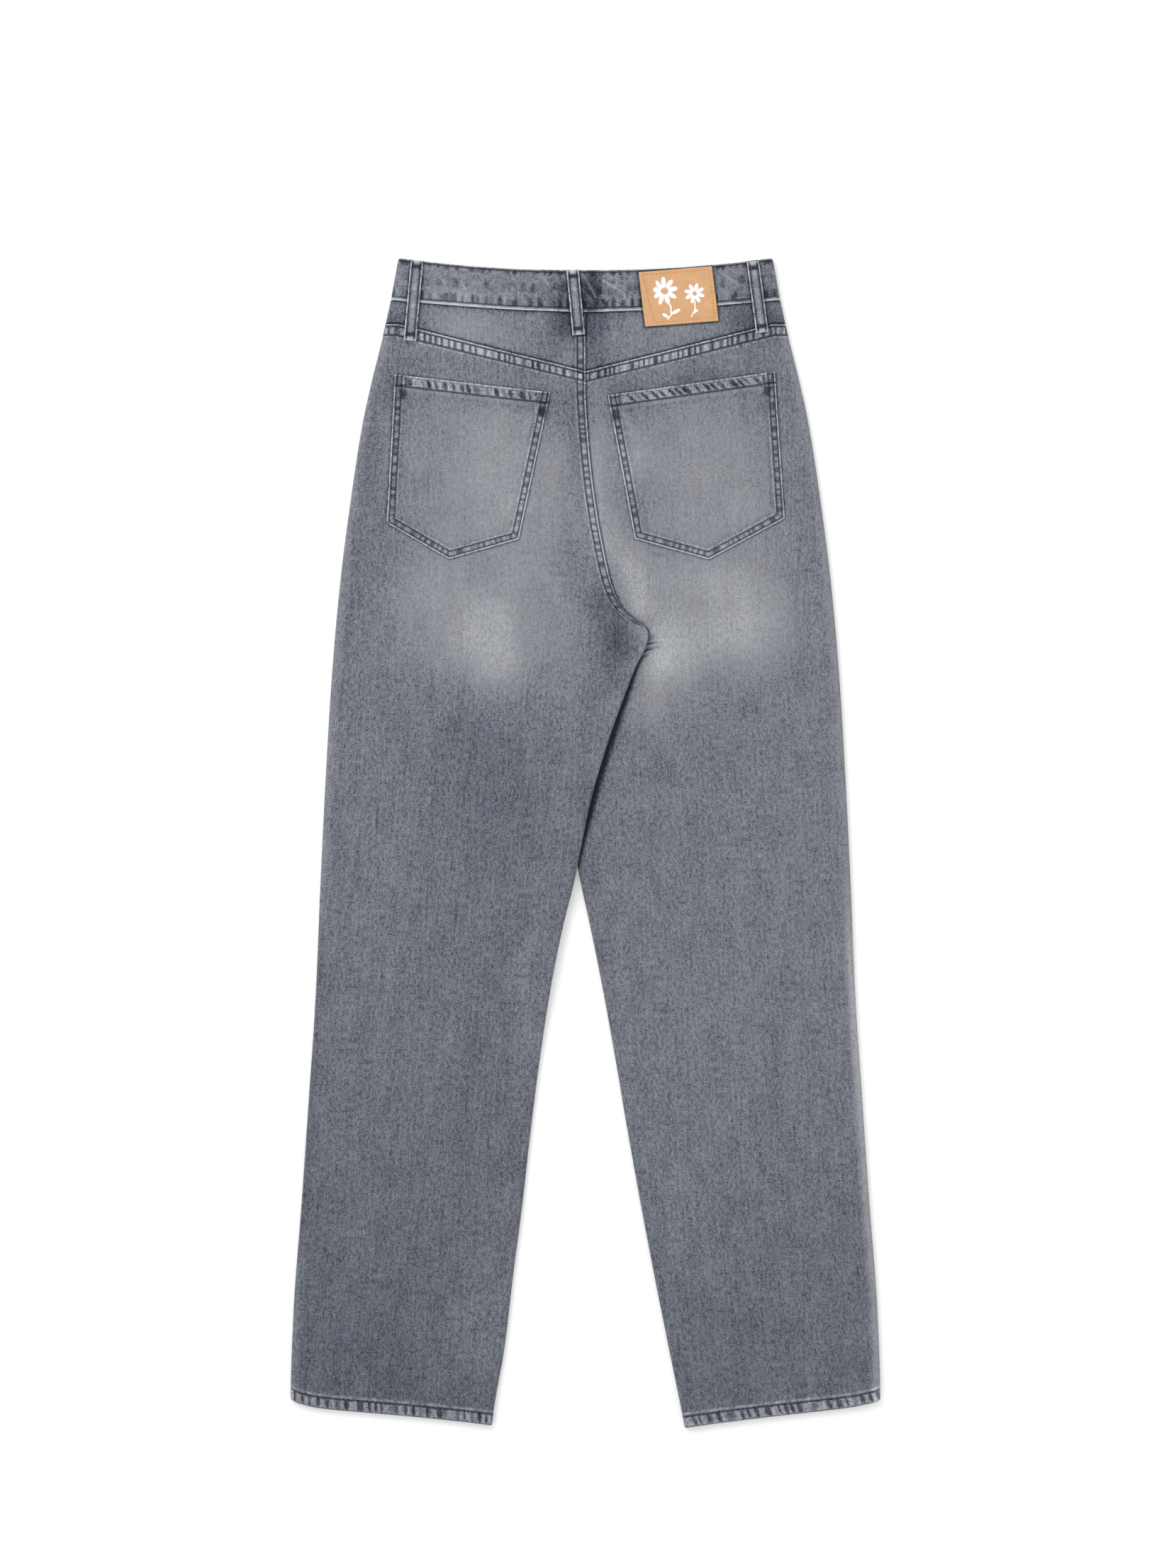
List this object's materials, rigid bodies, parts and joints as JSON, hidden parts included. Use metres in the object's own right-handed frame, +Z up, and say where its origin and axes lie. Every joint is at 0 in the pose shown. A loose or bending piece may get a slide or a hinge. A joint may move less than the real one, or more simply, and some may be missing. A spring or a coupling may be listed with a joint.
{
  "type": "mom jeans",
  "caption": "High-waisted straight-leg denim jeans laid flat with the seat side up, with back pockets, yoke, belt loops and a leather waistband patch.",
  "frame": {"origin": "middle of the laid garment, on the table that it rests on", "axes": "+Y along the garment from hems to waist, +X towards the wearer's right, +Z up from the table, on the seat side"},
  "size_m": [0.5236, 1.039, 0.0126],
  "materials": {
    "denim_back_left": "washed grey-blue denim twill",
    "denim_back_right": "washed grey-blue denim twill",
    "denim_front_left": "washed grey-blue denim twill",
    "denim_front_right": "washed grey-blue denim twill",
    "denim_yoke_left": "faded grey-blue denim twill",
    "denim_yoke_right": "faded grey-blue denim twill",
    "denim_waistband": "mottled grey-blue denim twill",
    "denim_pocket_left": "faded grey-blue denim twill",
    "denim_pocket_right": "faded grey-blue denim twill",
    "denim_facing": "grey-blue denim twill",
    "denim_loop": "grey-blue denim twill with worn edges",
    "patch_leather": "smooth light tan",
    "button_metal": "satin grey",
    "zip_metal": "satin grey"
  },
  "bodies": {
    "root": {"back_left": "denim_back_left", "back_right": "denim_back_right", "front_left": "denim_front_left", "front_right": "denim_front_right", "yoke_left": "denim_yoke_left", "yoke_right": "denim_yoke_right", "waistband": "denim_waistband", "back_pocket_left": "denim_pocket_left", "back_pocket_right": "denim_pocket_right", "front_pocket_facing_left": "denim_facing", "front_pocket_facing_right": "denim_facing", "belt_loop_back_left": "denim_loop", "belt_loop_back_centre": "denim_loop", "belt_loop_back_right": "denim_loop", "belt_loop_front_left": "denim_loop", "belt_loop_front_right": "denim_loop", "leather_patch": "patch_leather", "button": "button_metal", "zip": "zip_metal"}
  },
  "joints": []
}
